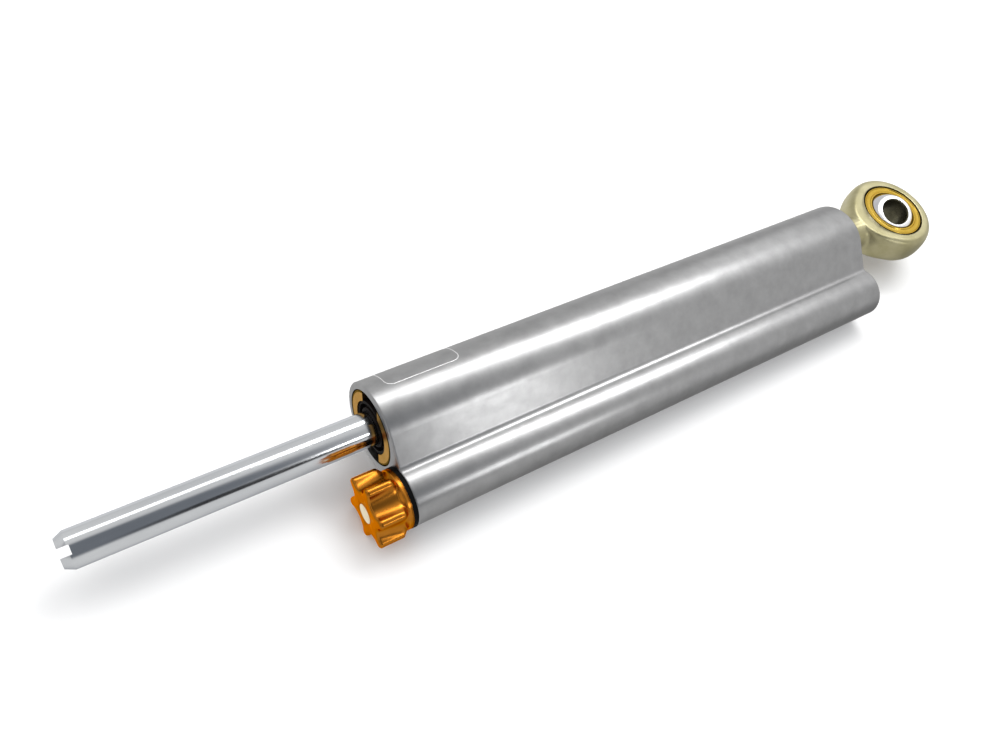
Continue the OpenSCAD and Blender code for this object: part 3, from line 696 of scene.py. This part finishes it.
def makeBall(look):
    half, edge, bevel = look["half"], look["edge"], look["boreChamfer"]
    limit = math.asin((half - edge) / look["ballR"])
    outside = [(look["ballR"] * math.sin(a), look["ballR"] * math.cos(a))
               for a in (limit * (1 - 2 * i / look["steps"]) for i in range(look["steps"] + 1))]
    faceR = math.sqrt(look["ballR"] ** 2 - half ** 2) - edge
    top = [(half, look["boreR"] + bevel), (half, faceR)]
    bore = [(-half + bevel, look["boreR"]), (half - bevel, look["boreR"])]
    bottom = [(-z, r) for z, r in reversed(top)]
    mesh = turnedRound("swivelBall", top + outside + bottom + bore, look)
    # slot 1 is the bore, darkened as painted shade; slot 2 the ground faces
    slots = []
    for face in mesh.polygons:
        reach = math.hypot(face.center.x, face.center.y) / mm
        inBore = reach < look["boreR"] + bevel * look["boreShare"]
        slots.append(1 if inBore else 2 if abs(face.center.z) / mm > half - bevel else 0)
    mesh.transform(Matrix.Rotation(math.radians(look["bearing"]), 4, "Z")
                   @ Matrix.Rotation(math.radians(look["tilt"]), 4, "Y"))
    ball = addPiece("swivelBall", mesh, "ballChrome", "ball")
    mesh.materials.append(finishes["paintedShadeBore"])
    mesh.materials.append(finishes["groundFace"])
    mesh.polygons.foreach_set("material_index", slots)
    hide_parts("eye_ball")


makeBall(ballLook)
print("eye made")

# Pieces that keep their solids get a worn, softened edge, as many millimetres wide
edgeBevel = {"segments": 3, "angle": 35}
edgeWear = {"front_gland": 0.15, "rear_gland": 0.15, "front_wiper": 0.15,
            "rear_wiper": 0.15, "click_ring": 0.2, "piston_rod": 0.15, "knob_screw": 0.15,
            "end_plug": 0.15, "end_plug_clip": 0.08, "port_plugs": 0.1}


def softenEdges(name, width):
    bevel = nodes[name].modifiers.new("wornEdge", "BEVEL")
    bevel.width = width * mm
    bevel.segments = edgeBevel["segments"]
    bevel.limit_method = "ANGLE"
    bevel.angle_limit = math.radians(edgeBevel["angle"])
    bevel.harden_normals = True


for name, width in edgeWear.items():
    softenEdges(name, width)
print("damper pieces done")


# Floor, light and camera
floorLook = {"gap": 0.0002, "reach": 3.0, "colour": (0.93, 0.93, 0.93, 1), "roughness": 0.9,
             "specular": 0.1}


def stageFloor(look):
    # a sheet of white paper; the metal mirrors the room instead of it
    floorZ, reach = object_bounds()[0][2] - look["gap"], look["reach"]
    mesh = bpy.data.meshes.new("studioFloor")
    mesh.from_pydata([(-reach, -reach, floorZ), (reach, -reach, floorZ), (reach, reach, floorZ),
                      (-reach, reach, floorZ)], [], [(0, 1, 2, 3)])
    mat, tree, skin = startFinish("whitePaper")
    skin.inputs["Base Color"].default_value = look["colour"]
    skin.inputs["Roughness"].default_value = look["roughness"]
    skin.inputs["Specular IOR Level"].default_value = look["specular"]
    mesh.materials.append(mat)
    floor = bpy.data.objects.new("studioFloor", mesh)
    bpy.context.scene.collection.objects.link(floor)
    floor.visible_glossy = False
    floor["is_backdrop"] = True


viewpoint = {"azimuth": -51.70, "elevation": 55.69, "roll": 24.28, "aimX": -142.32, "aimY": 0.13,
             "distance": 212.54, "focalPixels": 893.96, "sensorWidth": 36, "imageWidth": 1000,
             "nearest": 0.01}


def placeCamera(v):
    az, el, roll = (math.radians(v[key]) for key in ("azimuth", "elevation", "roll"))
    back = Vector((math.sin(az) * math.cos(el), -math.cos(az) * math.cos(el), math.sin(el)))
    level = Vector((math.cos(az), math.sin(az), 0))
    upright = back.cross(level)
    right = math.cos(roll) * level + math.sin(roll) * upright
    up = -math.sin(roll) * level + math.cos(roll) * upright
    eye = (Vector((v["aimX"], 0, 0)) + back * v["distance"] + up * v["aimY"]) * mm
    lens = bpy.data.cameras.new("photoCamera")
    lens.sensor_width = v["sensorWidth"]
    lens.lens = v["focalPixels"] * v["sensorWidth"] / v["imageWidth"]
    lens.clip_start = v["nearest"]
    camera = bpy.data.objects.new("photoCamera", lens)
    camera.matrix_world = Matrix((
        (right.x, up.x, back.x, eye.x), (right.y, up.y, back.y, eye.y),
        (right.z, up.z, back.z, eye.z), (0, 0, 0, 1)))
    bpy.context.scene.collection.objects.link(camera)
    bpy.context.scene.camera = camera
    return eye


eyePoint = placeCamera(viewpoint)

# Each panel hangs between the two points that the metal mirrors to the camera
# at (place along X, angle of the surface round X)
softPanels = {
    "tubeHighlight": {"axis": (0, 0), "radius": 10.7, "start": (-192, 86), "end": (-92, 99),
                      "away": 0.55, "width": 0.15, "glow": 6.0},
    "lobeHighlight": {"axis": (-16.39, -3.7), "radius": 7.0, "start": (-186, 126),
                      "end": (-148, 127), "away": 0.55, "width": 0.1, "glow": 6.0},
    "rodHighlight": {"axis": (0, 0), "radius": 4.0, "start": (-250, 81), "end": (-186, 84),
                     "away": 0.55, "width": 0.14, "glow": 2.0},
}


def mirroredPlace(panel, x, angle):
    turn = math.radians(angle)
    facing = Vector((0, math.cos(turn), math.sin(turn)))
    spot = (Vector((x, *panel["axis"])) + facing * panel["radius"]) * mm
    toEye = (eyePoint - spot).normalized()
    return spot + (2 * toEye.dot(facing) * facing - toEye) * panel["away"], spot


def hangPanel(name, panel):
    start, startSpot = mirroredPlace(panel, *panel["start"])
    end, endSpot = mirroredPlace(panel, *panel["end"])
    place = (start + end) / 2
    across = (end - start).normalized()
    back = place - (startSpot + endSpot) / 2
    back = (back - across * back.dot(across)).normalized()
    side = back.cross(across)
    light = bpy.data.lights.new(name, "AREA")
    light.shape = "RECTANGLE"
    light.size, light.size_y = (end - start).length, panel["width"]
    light.energy = panel["glow"] * math.pi * light.size * light.size_y
    lamp = bpy.data.objects.new(name, light)
    lamp.matrix_world = Matrix((
        (across.x, side.x, back.x, place.x), (across.y, side.y, back.y, place.y),
        (across.z, side.z, back.z, place.z), (0, 0, 0, 1)))
    bpy.context.scene.collection.objects.link(lamp)


for name, panel in softPanels.items():
    hangPanel(name, panel)

# One wide lamp lights the paper and casts the soft shadow; the metal doesn't mirror it
wideLamp = {"place": (-0.13, 0.16, 0.8), "aim": (-0.11, -0.01, 0), "size": 1.5, "power": 4.6}


def hangWideLamp(look):
    light = bpy.data.lights.new("wideLamp", "AREA")
    light.size = look["size"]
    light.energy = look["power"]
    lamp = bpy.data.objects.new("wideLamp", light)
    lamp.location = look["place"]
    down = Vector(look["aim"]) - Vector(look["place"])
    lamp.rotation_euler = down.to_track_quat("-Z", "Y").to_euler()
    lamp.visible_glossy = False
    bpy.context.scene.collection.objects.link(lamp)


hangWideLamp(wideLamp)

# The room: pale all round, with patches that the metal mirrors. A patch lies at a
# direction along X and an angle round X, and reaches so many degrees each way
room = {
    "pale": (0.78, 0.78, 0.78, 1),
    "patches": {
        "ceiling": {"along": 0.66, "round": 80, "wide": 24, "high": 28, "soft": 0.6,
                    "colour": (1.45, 1.45, 1.45, 1)},
        "shadedWall": {"along": -0.12, "round": 125, "wide": 28, "high": 53, "soft": 0.35,
                       "colour": (0.19, 0.205, 0.23, 1)},
        "farWall": {"along": 0.75, "round": 35, "wide": 13, "high": 26, "soft": 0.9,
                    "colour": (1.45, 1.45, 1.45, 1)},
        "paperShade": {"along": 0.62, "round": 238, "wide": 34, "high": 60, "soft": 0.5,
                       "colour": (0.46, 0.46, 0.46, 1)},
        "paperGlow": {"along": 0.3, "round": 312, "wide": 62, "high": 42, "soft": 0.35,
                      "colour": (1.12, 1.12, 1.12, 1)},
        "doorway": {"along": -0.93, "round": 111, "wide": 13, "high": 42, "soft": 0.4,
                    "colour": (0.06, 0.06, 0.065, 1)},
        "tableEdge": {"along": 0.17, "round": 156, "wide": 9, "high": 13, "soft": 0.4,
                      "colour": (0.02, 0.02, 0.022, 1)},
    },
}


def paintRoom(look):
    world = bpy.data.worlds.new("studioRoom")
    bpy.context.scene.world = world
    world.use_nodes = True
    tree = world.node_tree
    tree.nodes.clear()
    link = tree.links.new
    coord = addNode(tree, "ShaderNodeTexCoord", (-1400, 0))
    glow = addNode(tree, "ShaderNodeBackground", (600, 0))
    out = addNode(tree, "ShaderNodeOutputWorld", (800, 0))
    link(glow.outputs[0], out.inputs[0])

    def dot(direction, place):
        node = addNode(tree, "ShaderNodeVectorMath", place, operation="DOT_PRODUCT")
        node.inputs[1].default_value = direction
        link(coord.outputs["Generated"], node.inputs[0])
        return node.outputs["Value"]

    last = None
    for row, patch in enumerate(look["patches"].values()):
        y = -400 * row
        turn = math.radians(patch["round"])
        rest = math.sqrt(1 - patch["along"] ** 2)
        towards = Vector((patch["along"], rest * math.cos(turn), rest * math.sin(turn)))
        across = (Vector((1, 0, 0)) - towards * towards.x).normalized()
        upright = towards.cross(across)
        spot = addNode(tree, "ShaderNodeCombineXYZ", (-800, y))
        wide, high = (math.sin(math.radians(patch[key])) for key in ("wide", "high"))
        link(dot(across / wide, (-1000, y)), spot.inputs[0])
        link(dot(upright / high, (-1000, y - 150)), spot.inputs[1])
        reach = addNode(tree, "ShaderNodeVectorMath", (-600, y), operation="LENGTH")
        link(spot.outputs[0], reach.inputs[0])
        fade = addNode(tree, "ShaderNodeMapRange", (-400, y), interpolation_type="SMOOTHSTEP")
        fade.inputs["From Min"].default_value = 1
        fade.inputs["From Max"].default_value = 1 - patch["soft"]
        link(reach.outputs["Value"], fade.inputs["Value"])
        facing = addNode(tree, "ShaderNodeMath", (-400, y - 200), operation="GREATER_THAN")
        facing.inputs[1].default_value = 0
        link(dot(towards, (-600, y - 200)), facing.inputs[0])
        share = addNode(tree, "ShaderNodeMath", (-200, y), operation="MULTIPLY")
        link(fade.outputs["Result"], share.inputs[0])
        link(facing.outputs[0], share.inputs[1])
        blend = addNode(tree, "ShaderNodeMix", (0, y), data_type="RGBA")
        blend.inputs["A"].default_value = look["pale"]
        blend.inputs["B"].default_value = patch["colour"]
        if last:
            link(last, blend.inputs["A"])
        link(share.outputs[0], blend.inputs["Factor"])
        last = blend.outputs["Result"]
    link(last, glow.inputs["Color"])


paintRoom(room)
stageFloor(floorLook)
bpy.context.scene.view_settings.view_transform = "Standard"
print("floor, light and camera set")
